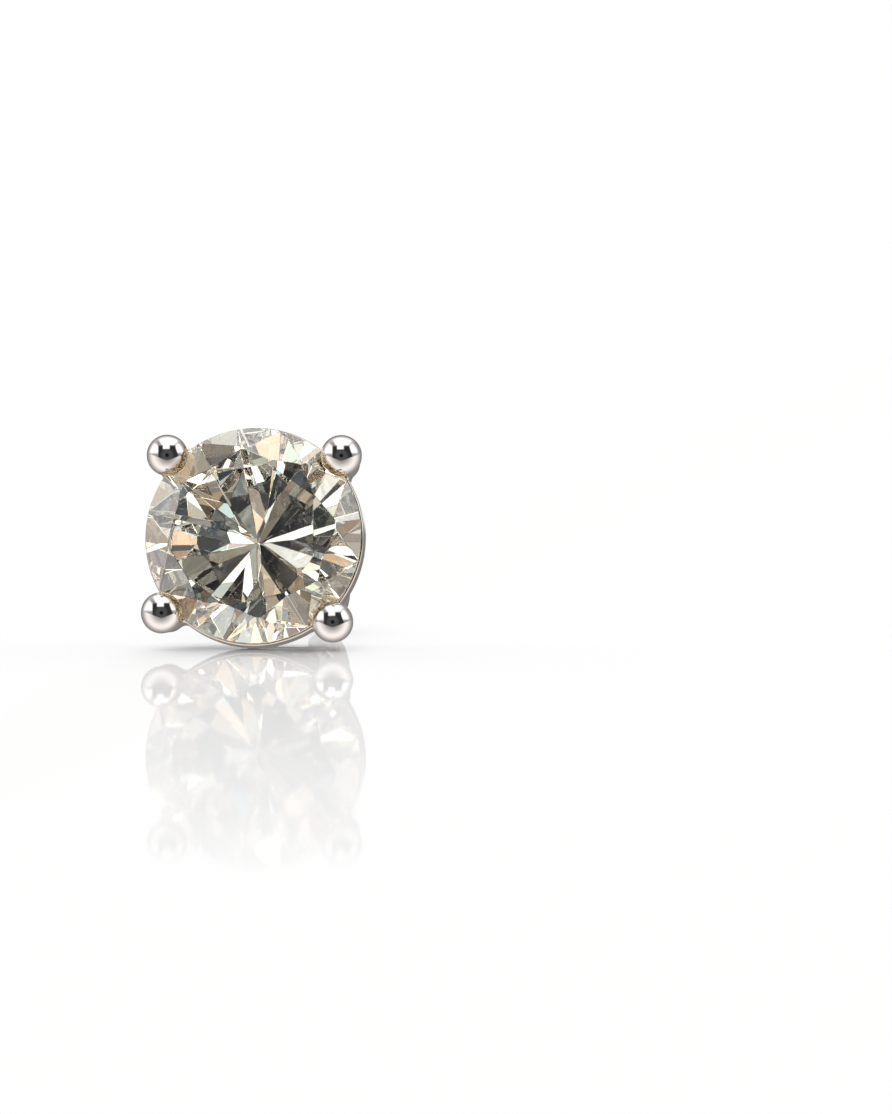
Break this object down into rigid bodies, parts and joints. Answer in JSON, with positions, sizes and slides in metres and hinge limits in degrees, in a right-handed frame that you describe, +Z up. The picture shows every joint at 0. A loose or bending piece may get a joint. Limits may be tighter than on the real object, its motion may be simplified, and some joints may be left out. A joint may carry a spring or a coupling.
{
  "type": "stud earring",
  "caption": "Stud earring: a round brilliant-cut stone in a ball-tipped prong basket, on a straight ear post with a butterfly ear back.",
  "frame": {"origin": "under the middle of the part's box, on the surface that it rests on", "axes": "+Z up; the stone's face looks along -Y and 10 degrees up; the ear post points along +Y and 10 degrees down; +X is to the right as the face is seen"},
  "size_m": [0.0066, 0.0148, 0.0065],
  "materials": {
    "stone": "clear, very slightly warm, with flat polished facets",
    "white_gold": "polished white gold with a rhodium plate"
  },
  "bodies": {
    "root": {"stone": "stone", "setting": "white_gold", "ear_back": "white_gold"}
  },
  "joints": []
}
